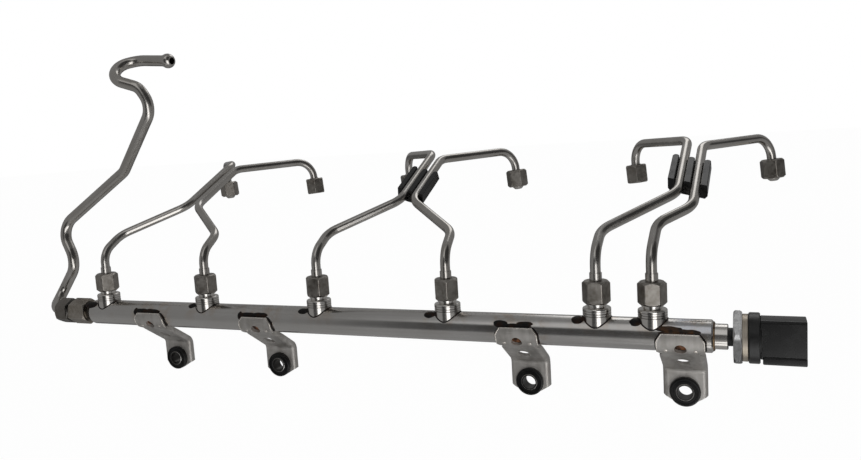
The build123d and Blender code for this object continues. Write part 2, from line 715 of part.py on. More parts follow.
def make_sensor_body():
    """Stud, neck, thin hexagon and the spigot that carries collar and seal."""
    hex_top = NECK_LENGTH + SENSOR_HEX
    body = rod(STUD_OD / 2, -STUD_DEPTH, NECK_LENGTH)
    body += Rotation(0, 0, SENSOR_TURN) * hexagon(SENSOR_AF, NECK_LENGTH, hex_top)
    body += rod(CORE_OD / 2, hex_top, hex_top + COLLAR_LENGTH + RING_LENGTH / 2)
    return sensor_place() * (body - rod(SENSE_BORE / 2, -STUD_DEPTH - 1, 0))


def sensor_ring(diameter, start, length, edge):
    """A ring on the sensor's spigot, with both its outer edges chamfered."""
    ring = rod(diameter / 2, start, start + length)
    ring = chamfer(ring.edges().filter_by(GeomType.CIRCLE), edge)
    return ring - rod(CORE_OD / 2, start - 1, start + length + 1)


def make_collar():
    start = NECK_LENGTH + SENSOR_HEX
    return sensor_place() * sensor_ring(COLLAR_OD, start, COLLAR_LENGTH, 0.3)


def make_ring():
    start = NECK_LENGTH + SENSOR_HEX + COLLAR_LENGTH
    return sensor_place() * sensor_ring(RING_OD, start, RING_LENGTH, 0.6)


def shell_start():
    return RAIL_X1 + PORT_LENGTH + NECK_LENGTH + SENSOR_HEX + COLLAR_LENGTH + RING_LENGTH


def make_shell():
    """Plug housing: rounded block, keyed ledge under it, socket open to +X."""
    middle = SHELL_TOP - SHELL_HEIGHT / 2
    start = shell_start()
    block = RectangleRounded(SHELL_WIDTH, SHELL_HEIGHT, SHELL_CORNER)
    room = RectangleRounded(
        SHELL_WIDTH - 2 * SHELL_WALL, SHELL_HEIGHT - 2 * SHELL_WALL, SHELL_CORNER - SHELL_WALL / 2
    )
    ledge = RectangleRounded(LEDGE_WIDTH, LEDGE_HEIGHT + LEDGE_CORNER, LEDGE_CORNER)
    face = Plane(origin=(start, 0, middle), x_dir=(0, 1, 0), z_dir=(1, 0, 0))
    ledge_z = (LEDGE_CORNER - SHELL_HEIGHT - LEDGE_HEIGHT) / 2

    shell = extrude(face * block, SHELL_LENGTH)
    shell = chamfer(shell.faces().sort_by(Axis.X)[-1].edges(), SHELL_CHAMFER)
    rib = Pos(LEDGE_SETBACK, 0, 0) * extrude(
        face * Pos(0, ledge_z) * ledge, SHELL_LENGTH - LEDGE_SETBACK
    )
    shell += chamfer(rib.faces().sort_by(Axis.X)[-1].edges(), SHELL_CHAMFER)
    shell -= Pos(SHELL_FLOOR, 0, 0) * extrude(face * room, SHELL_LENGTH)
    shell += Pos(start, 0, 0) * ALONG_X * rod(CORE_OD / 2, -RING_LENGTH / 2, 0)
    for pin in pin_places():
        shell -= pin * pin_blank()
    return shell


def pin_places():
    """Places of the contact pins on the socket's floor."""
    for n in range(PINS):
        y = (n - (PINS - 1) / 2) * PIN_PITCH
        yield Pos(shell_start() + SHELL_FLOOR, y, SHELL_TOP - SHELL_HEIGHT / 2)


def pin_blank():
    """Flat contact pin with a pointed tip, its root at x = -PIN_ROOT."""
    outline = Polyline(
        (-PIN_ROOT, -PIN_WIDTH / 2),
        (PIN_LENGTH - PIN_WIDTH, -PIN_WIDTH / 2),
        (PIN_LENGTH, -PIN_WIDTH / 5),
        (PIN_LENGTH, PIN_WIDTH / 5),
        (PIN_LENGTH - PIN_WIDTH, PIN_WIDTH / 2),
        (-PIN_ROOT, PIN_WIDTH / 2),
        close=True,
    )
    return extrude(make_face(outline), PIN_THICK / 2, both=True)


# ---------------------------------------------------------------------- output
def all_parts():
    yield "rail_tube", make_rail()
    yield "inlet_adapter", make_inlet()
    yield "feed_pipe", make_feed_line()
    yield "feed_nut", make_feed_nut()
    boss = make_boss()
    for n in range(CYLINDERS):
        yield f"port_boss_{n + 1}", Pos(PORT_X[n], 0, 0) * boss
        yield f"rail_nut_{n + 1}", make_rail_nut(n)
        yield f"injector_pipe_{n + 1}", make_line(n)
        yield f"injector_nut_{n + 1}", make_injector_nut(n)
    for pair, clipped in enumerate(PAIR_CLIPPED):
        if clipped:
            yield f"pipe_clip_{pair + 1}", make_clip(pair)
    bracket, bush, sleeve = make_bracket(), make_bush(), make_sleeve()
    for n, x in enumerate(BRACKET_X, 1):
        yield f"bracket_{n}", Pos(x, 0, 0) * bracket
        yield f"bush_rubber_{n}", Pos(x, 0, 0) * bush
        yield f"bush_sleeve_{n}", Pos(x, 0, 0) * sleeve
    yield "sensor_port", make_sensor_port()
    yield "sensor_body", make_sensor_body()
    yield "sensor_collar", make_collar()
    yield "seal_ring", make_ring()
    yield "connector_shell", make_shell()
    for n, place in enumerate(pin_places(), 1):
        yield f"contact_pin_{n}", place * pin_blank()


os.makedirs("parts", exist_ok=True)
for name, solid in all_parts():
    export_step(solid, f"parts/{name}.step")
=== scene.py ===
# %% [markdown]
# # A fuel rail, dressed for the studio
# The solids of this part are finished before Blender starts: they come in as a
# fixed frame, in metres, with the rail lying along X and its bosses pointing up.
# This lesson gives them what drawings leave out: the marks of turning, drawing
# and brazing, dull forged nuts, moulded plastic, rubber, and a plain white studio.
# Lengths are in metres, so a size in millimetres is written as 3 * MM.

# %% The frame
import json
import math

import bmesh
import bpy
from mathutils import Matrix, Vector


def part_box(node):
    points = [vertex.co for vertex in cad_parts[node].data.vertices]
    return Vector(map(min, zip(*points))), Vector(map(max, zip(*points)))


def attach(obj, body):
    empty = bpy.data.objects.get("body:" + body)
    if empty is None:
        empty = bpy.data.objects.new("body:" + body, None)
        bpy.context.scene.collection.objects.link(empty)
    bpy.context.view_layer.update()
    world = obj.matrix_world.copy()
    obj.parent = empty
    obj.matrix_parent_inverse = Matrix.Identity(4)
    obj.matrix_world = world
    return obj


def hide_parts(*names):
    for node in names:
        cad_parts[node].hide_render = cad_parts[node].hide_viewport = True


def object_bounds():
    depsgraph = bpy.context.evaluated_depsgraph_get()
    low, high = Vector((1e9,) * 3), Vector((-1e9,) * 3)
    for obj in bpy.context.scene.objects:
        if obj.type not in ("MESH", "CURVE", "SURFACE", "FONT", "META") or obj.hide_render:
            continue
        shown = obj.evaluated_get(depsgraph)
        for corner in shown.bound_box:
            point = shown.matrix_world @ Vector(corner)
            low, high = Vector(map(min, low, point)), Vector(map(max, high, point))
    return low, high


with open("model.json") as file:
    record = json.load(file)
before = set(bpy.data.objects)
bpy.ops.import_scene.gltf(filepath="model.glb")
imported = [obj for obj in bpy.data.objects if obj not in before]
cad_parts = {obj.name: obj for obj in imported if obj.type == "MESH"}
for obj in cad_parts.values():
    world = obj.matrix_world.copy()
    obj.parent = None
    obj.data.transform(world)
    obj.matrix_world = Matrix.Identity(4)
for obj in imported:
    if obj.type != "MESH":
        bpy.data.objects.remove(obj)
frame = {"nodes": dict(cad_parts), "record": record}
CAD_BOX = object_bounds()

NODES = frame["nodes"]
MM = 0.001
print(len(NODES), "solids, from", CAD_BOX[0], "to", CAD_BOX[1])

# %% [markdown]
# ## Where things are
# Every ornament is placed from the solids it sits on, so that it follows them.
# The box of a node gives its middle and its ends.

# %% Places read from the solids
def middle(node):
    """Middle of a node's box."""
    low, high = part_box(node)
    return (low + high) / 2


def width(node):
    """Length of a node's box along the rail."""
    low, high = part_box(node)
    return high.x - low.x


LINES = range(1, 7)
BRACKETS = range(1, 5)
RAIL_LOW, RAIL_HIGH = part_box("rail_tube")
RAIL_R = (RAIL_HIGH.z - RAIL_LOW.z) / 2
PORT_X = [middle(f"port_boss_{n}").x for n in LINES]
BRACKET_X = [middle(f"bracket_{n}").x for n in BRACKETS]
BOSS_R = width("port_boss_1") / 2
print("ports at", [round(x / MM) for x in PORT_X])
print("brackets at", [round(x / MM) for x in BRACKET_X])

# %% [markdown]
# ## Writing node graphs as sums
# A material is a graph of nodes, and so is a Geometry Nodes tree. Wiring each
# Math node by hand hides what is being worked out, so a small class wraps a
# socket and turns +, -, * and / into Math nodes. Everything else comes from one
# method that adds any kind of node, and both kinds of graph share it.

# %% A socket that can be reckoned with
class Value:
    """An output socket of a graph that behaves like a number."""

    def __init__(self, graph, socket):
        self.graph, self.socket = graph, socket

    def math(self, operation, *others, flip=False):
        terms = [self, *others]
        if flip:
            terms.reverse()
        return self.graph.add("ShaderNodeMath", {"operation": operation}, terms)

    def __add__(self, other):
        return self.math("ADD", other)

    def __sub__(self, other):
        return self.math("SUBTRACT", other)

    def __mul__(self, other):
        return self.math("MULTIPLY", other)

    def __truediv__(self, other):
        return self.math("DIVIDE", other)

    def __rsub__(self, other):
        return self.math("SUBTRACT", other, flip=True)

    __radd__, __rmul__ = __add__, __mul__

    def clamp(self):
        return self.math("MAXIMUM", 0.0).math("MINIMUM", 1.0)

    def step(self, low, high):
        """0 under low, 1 over high and smooth between them; low may be the larger."""
        return self.graph.add(
            "ShaderNodeMapRange",
            {"interpolation_type": "SMOOTHSTEP"},
            {"Value": self, "From Min": low, "From Max": high},
        )

    def parts(self):
        """X, Y and Z of a vector, or red, green and blue of a colour."""
        split = self.graph.add("ShaderNodeSeparateXYZ", {}, [self])
        return split.others()

    def others(self):
        """All the outputs of the node that this one comes from."""
        return [Value(self.graph, socket) for socket in self.socket.node.outputs]


print("sockets can be added, multiplied and stepped")

# %% A graph that is filled node by node
def socket_of(sockets, key):
    """A socket by its place in the row, its identifier or its name."""
    if isinstance(key, int):
        return sockets[key]
    alike = [socket for socket in sockets if socket.identifier == key]
    return alike[0] if alike else sockets[key]


class Graph:
    """A node tree that is filled by adding nodes to it."""

    def __init__(self, tree):
        self.tree = tree

    def add(self, kind, settings, sockets, out=0):
        """Adds a node: its settings first, then values or links of its sockets."""
        node = self.tree.nodes.new(kind)
        for key, value in settings.items():
            setattr(node, key, value)
        pairs = sockets.items() if isinstance(sockets, dict) else enumerate(sockets)
        for key, value in pairs:
            self.feed(socket_of(node.inputs, key), value)
        return Value(self, socket_of(node.outputs, out))

    def feed(self, socket, value):
        """Links a Value to a socket, or sets it to a plain number or colour."""
        if isinstance(value, Value):
            self.tree.links.new(value.socket, socket)
        else:
            socket.default_value = value

    def show(self, shader):
        """Sends a shader to the surface of the tree's output."""
        output = next(node for node in self.tree.nodes if node.type.startswith("OUTPUT"))
        self.feed(output.inputs["Surface"], shader)


print("graphs ready")

# %% A material that is written as one graph
class Finish(Graph):
    """One procedural material, with its pattern fixed to the object."""

    def __init__(self, name, **sockets):
        self.name = name
        self.material = bpy.data.materials.new(name)
        self.material.use_nodes = True
        super().__init__(self.material.node_tree)
        self.shader = self.tree.nodes["Principled BSDF"]
        self.place = self.add("ShaderNodeTexCoord", {}, {}, out="Object")
        self.set(**sockets)

    def set(self, **sockets):
        """Sets sockets of the shader: underscores stand for spaces."""
        for key, value in sockets.items():
            self.feed(self.shader.inputs[key.replace("_", " ")], value)
        return self

    def stretch(self, scale):
        """Object coordinates multiplied along X, Y and Z."""
        return self.add(
            "ShaderNodeMapping", {"vector_type": "POINT"}, {"Vector": self.place, "Scale": scale}
        )

    def noise(self, scale, detail=3.0, stretch=None):
        where = self.stretch(stretch) if stretch else self.place
        sockets = {"Vector": where, "Scale": scale, "Detail": detail}
        return self.add("ShaderNodeTexNoise", {}, sockets)

    def mix(self, amount, first, second):
        """Blends two colours."""
        sockets = {"Factor_Float": amount, "A_Color": first, "B_Color": second}
        return self.add("ShaderNodeMix", {"data_type": "RGBA"}, sockets, out="Result_Color")

    def bump(self, height, strength, distance):
        sockets = {"Height": height, "Strength": strength, "Distance": distance}
        return self.set(Normal=self.add("ShaderNodeBump", {}, sockets))

    def recolour(self, mask, colour):
        """Puts a colour over the finish's own where the mask is 1."""
        under = Value(self, self.shader.inputs["Base Color"].links[0].from_socket)
        return self.set(Base_Color=self.mix(mask, under, colour))


def window(value, low, high, soft):
    """1 between low and high, fading to 0 over a soft margin outside them."""
    return value.step(low - soft, low) * value.step(high + soft, high)


def grey(level, warmth=0.0):
    """A grey with a little brown in it."""
    return (level * (1 + warmth), level, level * (1 - 1.3 * warmth), 1.0)


print("finish helpers ready")

# %% [markdown]
# ## Bare steel
# All the metal here is stainless or plated steel, but each piece was made in its
# own way. One function gives the common ground, a metal whose colour and gloss
# wander a little in large patches and fine lines. Painted images could do that
# too, but they would have to be fitted to every surface, while noise that reads
# the place on the object fits any shape. The arguments set how light and how
# warm the steel is, its roughness at its smoothest and dullest, how large the
# patches are, how the fine lines are stretched, how deep their grain is, and how
# much darker the worn places are.

# %% Steel
def steel(
    name, level, warmth, rough, patch, streak=(900, 900, 900), grain=0.0, wear=0.25, metal=1.0
):
    """A bare steel: rough is its least and greatest, grain its depth in millimetres."""
    finish = Finish(name, Metallic=metal)
    patches = finish.noise(patch, detail=4)
    fine = finish.noise(1.0, detail=4, stretch=streak)
    finish.tone = (patches * 0.55 + fine * 0.45).step(0.3, 0.7)
    worn_colour, full_colour = grey(level * (1 - wear), warmth * 1.6), grey(level, warmth)
    smooth, dull = rough
    finish.set(
        Base_Color=finish.mix(finish.tone, worn_colour, full_colour),
        Roughness=smooth + finish.tone * (dull - smooth),
    )
    if grain:
        finish.bump(fine, 0.6, grain * MM)
    return finish


print("steel can be made")

# %% [markdown]
# ## Drawn and turned steel
# The rail and its lines are tube, pulled through a die, which leaves them almost
# a mirror, with long faint lines along the rail. The bosses are turned, so their
# lines lie level, one over the other, and a noise that changes fast with height
# alone draws them. The sensor's port shares the bosses' finish. The sleeves are
# turned too, but duller.

# %% Tubes, bosses and sleeves
rail_steel = steel(
    "rail_steel", level=0.6, warmth=0.02, rough=(0.17, 0.25), patch=26,
    streak=(10, 500, 500), grain=0.004, wear=0.14,
)
pipe_steel = steel(
    "pipe_steel", level=0.54, warmth=0.035, rough=(0.17, 0.26), patch=34,
    streak=(90, 90, 90), wear=0.2,
)
turned_steel = steel(
    "turned_steel", level=0.7, warmth=0.03, rough=(0.11, 0.2), patch=60,
    streak=(40, 40, 1500), grain=0.004, wear=0.12,
)
sleeve_steel = steel("sleeve_steel", level=0.5, warmth=0.02, rough=(0.3, 0.42), patch=90)
print("drawn and turned:", rail_steel.name, pipe_steel.name, turned_steel.name, sleeve_steel.name)

# %% [markdown]
# ## Forged, pressed and plated steel
# The union nuts are forged and left brown and grainy, and so is the feed
# adapter. The brackets are pressed from dull sheet, and its rolling lines run
# down them. The sensor's body is plated, with a crimped collar of yellowish
# metal next to it, and its contacts are tinned. Plating and rolled scale are
# part metal and part oxide, so the sheet, the plating and the collar aren't
# fully metallic, and neither are the rubbed rims of the sheet.

# %% Nuts, sheet, plating and pins
nut_steel = steel(
    "nut_steel", level=0.38, warmth=0.06, rough=(0.28, 0.42), patch=170,
    streak=(520, 520, 520), grain=0.03, wear=0.46,
)
adapter_steel = steel(
    "adapter_steel", level=0.42, warmth=0.08, rough=(0.24, 0.36), patch=140,
    streak=(500, 500, 500), grain=0.015, wear=0.4,
)
sheet_steel = steel(
    "sheet_steel", level=0.54, warmth=0.035, rough=(0.36, 0.52), patch=130,
    streak=(420, 420, 60), grain=0.02, wear=0.34, metal=0.58,
)
zinc_steel = steel(
    "zinc_steel", level=0.24, warmth=0.0, rough=(0.42, 0.55), patch=420,
    streak=(1500, 1500, 1500), grain=0.03, wear=0.5, metal=0.5,
)
collar_steel = steel(
    "collar_steel", level=0.5, warmth=0.1, rough=(0.34, 0.46), patch=90,
    streak=(2600, 60, 60), grain=0.01, wear=0.3, metal=0.8,
)
rim_steel = steel(
    "rim_steel", level=0.85, warmth=0.05, rough=(0.2, 0.34), patch=90, metal=0.8
)
pin_tin = steel("pin_tin", level=0.75, warmth=0.02, rough=(0.2, 0.3), patch=90)
print("forged, pressed and plated:", nut_steel.name, sheet_steel.name, zinc_steel.name)

# %% [markdown]
# ## Rings on the bosses
# A boss is turned on a lathe, and fine grooves run under its rim. They are too shallow to show in
# a drawing, so they are coloured with painted shade, as if shade fell in them, instead of cut: all
# bosses stand at one height, so one band of heights marks the same ring on each.

# %% Rings on the bosses
RING_HEIGHTS = (9.9 * MM, 11.3 * MM, 12.7 * MM)
RING_WIDTH, RING_FADE = 0.4 * MM, 0.15 * MM
GROOVE_PAINTED_SHADE = grey(0.08, 0.1)

_, _, height_on_boss = turned_steel.place.parts()
rings = sum(window(height_on_boss, z, z + RING_WIDTH, RING_FADE) for z in RING_HEIGHTS)
# painted shade: the bosses are darkened at these ring heights, as shade in the grooves
turned_steel.recolour(0.5 * rings, GROOVE_PAINTED_SHADE)
print(len(RING_HEIGHTS), "rings on each boss")

# %% [markdown]
# ## Heat colours on the rail
# Everything is brazed onto the rail, and the heat leaves a skin of oxide: straw and brown clouds
# round each joint. Between the last boss and the end, the upper side of the rail is mottled with a
# pale blue that is lighter than the steel. Each is a soft band along the rail, broken up by noise.

# %% Heat colours
STRAW, BLUISH = (0.42, 0.27, 0.14, 1.0), (0.66, 0.72, 0.84, 1.0)
BOSS_HEAT = 9 * MM                                        # to each side, and its fade
TAB_HEAT_LEFT, TAB_HEAT_RIGHT, TAB_HEAT_FADE = 12 * MM, 14 * MM, 8 * MM
BLOOM_START, BLOOM_FADE = PORT_X[-1] + 12 * MM, 6 * MM

along, _, level = rail_steel.place.parts()
at_bosses = sum(window(along, x - BOSS_HEAT, x + BOSS_HEAT, BOSS_HEAT) for x in PORT_X)
at_tabs = sum(
    window(along, x - TAB_HEAT_LEFT, x + TAB_HEAT_RIGHT, TAB_HEAT_FADE) for x in BRACKET_X
)
heat = (at_bosses * level.step(-0.5 * RAIL_R, 0.9 * RAIL_R) + at_tabs).clamp()
cloud = rail_steel.noise(140, detail=4).step(0.42, 0.62)
rail_steel.recolour(0.26 * heat * cloud, STRAW)

# pale blue, lighter than the steel, on the upper side of the rail between the last boss and the
# end
bloom = window(along, BLOOM_START, RAIL_HIGH.x, BLOOM_FADE)
bloom = bloom * level.step(0.1 * RAIL_R, 0.5 * RAIL_R)
mottle = rail_steel.noise(90, detail=3).step(0.4, 0.6)
rail_steel.recolour(0.5 * bloom * mottle, BLUISH)
print("heat colours round", len(PORT_X), "bosses and", len(BRACKET_X), "tabs")

# %% [markdown]
# ## Sleeves in the bushes
# The steel sleeve in each bush is painted dark inside its bore, a painted shade, and its rim keeps
# the steel's own colour. The distance from the axis of the nearest bush tells the two apart. The
# bushes stand a whole number of pitches apart, so the fraction of a pitch folds all four onto one.

# %% Painted shade in the sleeves' bores
BORE_SHADE_EDGE, BORE_SHADE_FADED = 4.55 * MM, 4.75 * MM         # distances from the axis


def from_bush(finish):
    """Distance from the axis of the nearest bush, all of which lie along Y."""
    x, _, z = finish.place.parts()
    pitch = BRACKET_X[1] - BRACKET_X[0]
    turns = (x - BRACKET_X[0]) / pitch
    aside = ((turns + 0.5).math("FRACT") - 0.5) * pitch
    down = z - middle("bush_sleeve_1").z
    return (aside * aside + down * down).math("SQRT")


unshaded_rim = from_bush(sleeve_steel).step(BORE_SHADE_EDGE, BORE_SHADE_FADED)
# painted shade: the sleeve is darkened inside its bore, and its rim keeps the steel's colour
sleeve_steel.recolour(0.95 - 0.95 * unshaded_rim, grey(0.03, 0.05))
print("sleeves are bright past", BORE_SHADE_FADED / MM, "mm from their axis")

# %% [markdown]
# ## The sensor's body
# Its hexagon is plated, and its upper flat is painted almost white: a painted highlight where the
# light from above falls. The neck between it and its port is painted nearly black: painted shade
# between the two parts.

# %% Painted highlight and shade on the sensor
LIT_FLAT_FROM, LIT_FLAT_TO = 1.5 * MM, 3.5 * MM                   # heights over the axis
NECK_SHADE_INSIDE, NECK_SHADE_OUTSIDE = 6.0 * MM, 7.5 * MM            # distances from the axis

_, across, up = zinc_steel.place.parts()
from_axis = (across * across + up * up).math("SQRT")
# painted highlight: the upper flat of the hexagon is lightened almost to white
zinc_steel.recolour(up.step(LIT_FLAT_FROM, LIT_FLAT_TO) * (0.55 + 0.45 * zinc_steel.tone), grey(0.95))
# painted shade: the neck between the hexagon and the port is darkened nearly to black
zinc_steel.recolour(0.95 * from_axis.step(NECK_SHADE_OUTSIDE, NECK_SHADE_INSIDE), grey(0.02))
print("sensor's neck is dark inside", NECK_SHADE_INSIDE / MM, "mm")

# %% [markdown]
# ## Soot and painted shade at the feed end
# The feed adapter is brazed into the rail, and its end by the joint is sooty. Its end by its nut
# and the nut's face beside it carry painted shade, darkened as if shade fell in the gap between
# them, and that nut is darker than the others. Both finishes are marked by the place along the
# rail, and no other nut lies so far to the left.

# %% Soot and painted shade on the adapter and its nut
NUT_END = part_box("feed_nut")[1].x
GAP_SHADE_FADE = (NUT_END + 2.2 * MM, NUT_END + 0.6 * MM)
BRAZE_FADE = (RAIL_LOW.x - 5.2 * MM, RAIL_LOW.x - 4.4 * MM)
CREVICE_LOW, CREVICE_HIGH, CREVICE_FADE = NUT_END - 1.6 * MM, NUT_END + 1 * MM, 0.4 * MM

adapter_x, _, _ = adapter_steel.place.parts()
# soot by the braze joint, and painted shade at the end beside the nut
soot_and_gap_shade = (adapter_x.step(*GAP_SHADE_FADE) + adapter_x.step(*BRAZE_FADE)).clamp()
adapter_steel.recolour(0.9 * soot_and_gap_shade, grey(0.03, 0.1))

nut_x, _, _ = nut_steel.place.parts()
nut_steel.recolour(0.5 * nut_x.step(CREVICE_HIGH, NUT_END), grey(0.12, 0.1))
# painted shade: the nut's face in the gap beside the adapter is darkened
crevice_shade = window(nut_x, CREVICE_LOW, CREVICE_HIGH, CREVICE_FADE)
nut_steel.recolour(0.9 * crevice_shade, grey(0.02, 0.1))
print("soot ends at x =", round(GAP_SHADE_FADE[0] / MM, 1), "mm")

# %% [markdown]
# ## Rubbed edges
# Sharp edges are handled, knocked and rubbed bright. A Bevel node gives the
# normal that a rounded edge would have: where it leaves the true normal there
# is an edge, and a broken noise keeps the rubbing from being a neat line.

# %% Rubbed edges
def edge_of(finish, radius):
    """0 on a flat, 1 on a sharp edge: where a rounded normal leaves the true one."""
    rounded = finish.add("ShaderNodeBevel", {"samples": 6}, {"Radius": radius})
    true = finish.add("ShaderNodeNewGeometry", {}, {}, out="Normal")
    agree = finish.add(
        "ShaderNodeVectorMath", {"operation": "DOT_PRODUCT"}, [rounded, true], out="Value"
    )
    return (1 - agree).step(0.01, 0.1)


EDGES = (   # finish, width, how much is rubbed, the bright colour
    (nut_steel, 0.5 * MM, 0.6, grey(0.72, 0.04)),
    (adapter_steel, 0.5 * MM, 0.5, grey(0.7, 0.04)),
    (sheet_steel, 0.5 * MM, 0.6, grey(0.85, 0.04)),
    (zinc_steel, 0.4 * MM, 0.4, grey(0.75)),
)
for finish, edge_width, share, bright in EDGES:
    rubbed = 0.35 + 0.65 * finish.noise(700, detail=3).step(0.3, 0.6)
    finish.recolour(share * edge_of(finish, edge_width) * rubbed, bright)
print("edges rubbed on", len(EDGES), "steels")

# %% [markdown]
# ## Rubber and moulded plastic
# Neither is ever quite black or quite even: dust and mould release lighten it in
# patches, and a fine bump breaks up its gloss. The edges of the plastics are
# scuffed a little greyer, while rubber doesn't scuff.

# %% Black finishes
def moulding(name, level, rough, grain_scale, grain, gloss):
    """Dark rubber or plastic with a fine grain, grain deep in millimetres."""
    finish = Finish(name, Specular_IOR_Level=gloss)
    dust = finish.noise(120, detail=5).step(0.45, 0.75)
    fine = finish.noise(grain_scale, detail=2)
    finish.set(
        Base_Color=finish.mix(dust, grey(level), grey(level * 2.5)),
        Roughness=rough + dust * 0.12,
    )
    return finish.bump(fine, 0.5, grain * MM)


bush_rubber = moulding(
    "bush_rubber", level=0.003, rough=0.3, grain_scale=1800, grain=0.02, gloss=0.35
)
clip_plastic = moulding(
    "clip_plastic", level=0.004, rough=0.2, grain_scale=1400, grain=0.006, gloss=0.36
)
ring_plastic = moulding(
    "ring_plastic", level=0.007, rough=0.32, grain_scale=1400, grain=0.01, gloss=0.5
)
shell_plastic = moulding(
    "shell_plastic", level=0.003, rough=0.25, grain_scale=2200, grain=0.006, gloss=0.42
)
SCUFF_WIDTH = 0.5 * MM
for finish, scuffed in ((clip_plastic, 0.07), (ring_plastic, 0.03), (shell_plastic, 0.03)):
    finish.recolour(0.7 * edge_of(finish, SCUFF_WIDTH), grey(scuffed))
print("black finishes made")

# %% [markdown]
# ## Dressing the solids
# The record says which material slot each solid belongs to, and each slot has a
# finish of the same name, so one loop dresses them all.

# %% Finishes onto the solids
FINISHES = {
    finish.name: finish.material
    for finish in (
        rail_steel, pipe_steel, nut_steel, turned_steel, adapter_steel, sheet_steel,
        zinc_steel, collar_steel, sleeve_steel, pin_tin,
        bush_rubber, clip_plastic, ring_plastic, shell_plastic,
    )
}
for part in frame["record"]["subparts"]:
    solid = NODES[part["node"]]
    solid.data.materials.clear()
    solid.data.materials.append(FINISHES[part["material_slot"]])

# %% [markdown]
# ## Braze
# The bosses, brackets and end fittings are joined to the rail with braze: a
# filler that melts, creeps into the joint and leaves a thin wavy seam along its
# edge, with dark glassy flux beside it. Both are crusts of two colours, one
# burnt over the other, so one function makes them all.

# %% Braze and flux
def burnt(name, dark, light, rough, metal, gloss=0.5):
    """A burnt crust of two colours."""
    finish = Finish(name, Metallic=metal, Specular_IOR_Level=gloss)
    patches = finish.noise(260, detail=5).step(0.42, 0.66)
    fine = finish.noise(1500, detail=3)
    finish.set(
        Base_Color=finish.mix(patches, (*dark, 1), (*light, 1)), Roughness=rough + 0.25 * patches
    )
    return finish.bump(fine, 0.6, 0.05 * MM)


flux = burnt(
    "flux", dark=(0.003, 0.0025, 0.0025), light=(0.02, 0.01, 0.006), rough=0.45, metal=0.0,
    gloss=0.25,
)
copper_braze = burnt(
    "copper_braze", dark=(0.05, 0.022, 0.012), light=(0.36, 0.15, 0.065), rough=0.34, metal=0.5
)
brown_braze = burnt(
    "brown_braze", dark=(0.07, 0.04, 0.02), light=(0.3, 0.2, 0.11), rough=0.4, metal=0.5
)
brown_flux = burnt(
    "brown_flux", dark=(0.012, 0.007, 0.005), light=(0.08, 0.038, 0.016), rough=0.4, metal=0.2
)
print("braze and flux made")

# %% [markdown]
# ## Shapes that follow a drawing
# A seam follows a line and a drop of flux sits at a point, so each is drawn
# first as bare points and edges. A Geometry Nodes tree then gives the drawing
# its body, from sizes that have names. What it makes is kept as a plain mesh,
# so that nothing is left to work out later.

# %% Trees with named sizes
def put(name, data):
    """A new object in the scene."""
    thing = bpy.data.objects.new(name, data)
    bpy.context.scene.collection.objects.link(thing)
    return thing


class Shape(Graph):
    """A Geometry Nodes tree, run on a drawing of points and edges."""

    def __init__(self, name, **sizes):
        super().__init__(bpy.data.node_groups.new(name, "GeometryNodeTree"))
        sockets = self.tree.interface
        sockets.new_socket("Drawing", in_out="INPUT", socket_type="NodeSocketGeometry")
        for key, value in sizes.items():
            socket = sockets.new_socket(key, in_out="INPUT", socket_type="NodeSocketFloat")
            socket.default_value = value
        sockets.new_socket("Material", in_out="INPUT", socket_type="NodeSocketMaterial")
        sockets.new_socket("Piece", in_out="OUTPUT", socket_type="NodeSocketGeometry")
        self.start = self.tree.nodes.new("NodeGroupInput")
        self.end = self.tree.nodes.new("NodeGroupOutput")

    def given(self, name):
        return Value(self, self.start.outputs[name])

    def close(self, geometry):
        """Ends the tree in real, smooth geometry with its material."""
        real = self.add("GeometryNodeRealizeInstances", {}, [geometry])
        smooth = self.add("GeometryNodeSetShadeSmooth", {}, [real])
        painted = self.add(
            "GeometryNodeSetMaterial", {}, {"Geometry": smooth, "Material": self.given("Material")}
        )
        self.feed(self.end.inputs[0], painted)
        return self

    def make(self, name, finish, slot, points, edges=(), spread=None, **sizes):
        """Runs the tree on a drawing and keeps the result as a plain mesh."""
        drawing = bpy.data.meshes.new(name)
        drawing.from_pydata(points, edges, [])
        if spread:
            field = drawing.attributes.new("spread", "FLOAT_VECTOR", "POINT")
            for place, value in zip(field.data, spread):
                place.vector = value
        piece = put(name, drawing)
        runner = piece.modifiers.new("shape", "NODES")
        runner.node_group = self.tree
        for socket in self.tree.interface.items_tree:
            if socket.name == "Material":
                runner[socket.identifier] = finish.material
            elif socket.name in sizes:
                runner[socket.identifier] = sizes[socket.name]
        seen = piece.evaluated_get(bpy.context.evaluated_depsgraph_get())
        made = bpy.data.meshes.new_from_object(seen)
        piece.modifiers.clear()
        piece.data = made
        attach(piece, "root")
        print(name, "has", len(made.polygons), "faces")
        return piece


print("drawings can be given a shape")

# %% [markdown]
# ## The seam tree
# Molten braze runs along a joint and sets as a thin bead. It could be sculpted,
# but then each of the joints would need it again. The tree sweeps a small circle
# along any drawn line, and noise makes it thicker here and thinner there, as
# surface tension does.

# %% The seam tree
BEAD_STEP, BEAD_SIDES = 0.4 * MM, 8


